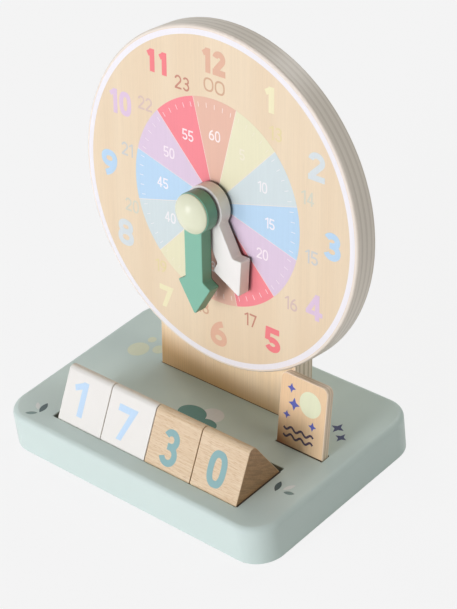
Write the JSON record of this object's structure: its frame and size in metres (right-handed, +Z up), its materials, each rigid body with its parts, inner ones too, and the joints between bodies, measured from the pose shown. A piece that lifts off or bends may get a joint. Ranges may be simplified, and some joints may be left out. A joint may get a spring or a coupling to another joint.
{
  "type": "geared teaching clock",
  "caption": "Wooden teaching clock: a leaning round dial with coupled hour and minute hands on a board that holds lift-out number blocks and a day and night tile.",
  "frame": {"origin": "middle of the base board's underside", "axes": "+Z up, the dial faces -Y and leans back from it, +X to the right seen from the front"},
  "size_m": [0.2, 0.135, 0.2449],
  "materials": {
    "base_paint": "satin pale green paint on plywood",
    "plywood": "clear satin varnish over birch plywood",
    "green_paint": "satin teal green paint on wood",
    "white_paint": "satin white paint on wood",
    "cream_paint": "satin pale cream paint on wood",
    "beech": "clear satin varnish over beech",
    "brass": "turned",
    "steel": "zinc plated",
    "gear_plastic": "moulded acetal",
    "fibre": "pressed fibre"
  },
  "bodies": {
    "base": {"base_board": "base_paint", "upright_board": "plywood", "dial_front": "plywood", "dial_back": "plywood", "front_bush": "brass", "rear_bush": "brass", "intermediate_stud": "steel", "spring_washer": "steel", "dial_washer": "fibre", "dial_screws": "steel", "upright_screws": "steel"},
    "minute": {"minute_hand": "green_paint", "minute_arbor": "steel", "minute_pinion": "gear_plastic", "hand_washer": "fibre", "centre_cap": "cream_paint"},
    "intermediate": {"intermediate_wheel": "gear_plastic", "intermediate_pinion": "gear_plastic"},
    "hour": {"hour_hand": "white_paint", "hour_pipe": "brass", "hour_wheel": "gear_plastic"},
    "block_1": {"number_block_1": "white_paint"},
    "block_2": {"number_block_2": "white_paint"},
    "block_3": {"number_block_3": "beech"},
    "block_4": {"number_block_4": "beech"},
    "tile": {"day_night_tile": "plywood"}
  },
  "joints": [
    {"name": "minute_turn", "type": "hinge", "parent": "base", "child": "minute", "pos_m": [0, 0.02941, 0.14632], "axis": [0, 0.9888, -0.1495], "continuous": true},
    {"name": "intermediate_turn", "type": "hinge", "parent": "base", "child": "intermediate", "pos_m": [0, 0.02567, 0.1216], "axis": [0, 0.9888, -0.1495], "continuous": true},
    {"name": "hour_turn", "type": "hinge", "parent": "base", "child": "hour", "pos_m": [0, 0.02941, 0.14632], "axis": [0, 0.9888, -0.1495], "continuous": true},
    {"name": "block_1_lift", "type": "slide", "parent": "base", "child": "block_1", "axis": [0, 0, 1], "range_m": [0, 0.06]},
    {"name": "block_2_lift", "type": "slide", "parent": "base", "child": "block_2", "axis": [0, 0, 1], "range_m": [0, 0.06]},
    {"name": "block_3_lift", "type": "slide", "parent": "base", "child": "block_3", "axis": [0, 0, 1], "range_m": [0, 0.06]},
    {"name": "block_4_lift", "type": "slide", "parent": "base", "child": "block_4", "axis": [0, 0, 1], "range_m": [0, 0.06]},
    {"name": "tile_lift", "type": "slide", "parent": "base", "child": "tile", "axis": [0, 0, 1], "range_m": [0, 0.045]}
  ],
  "couplings": [
    {"joint": "intermediate_turn", "follows": "minute_turn", "ratio": -0.33333},
    {"joint": "hour_turn", "follows": "minute_turn", "ratio": 0.083333}
  ]
}
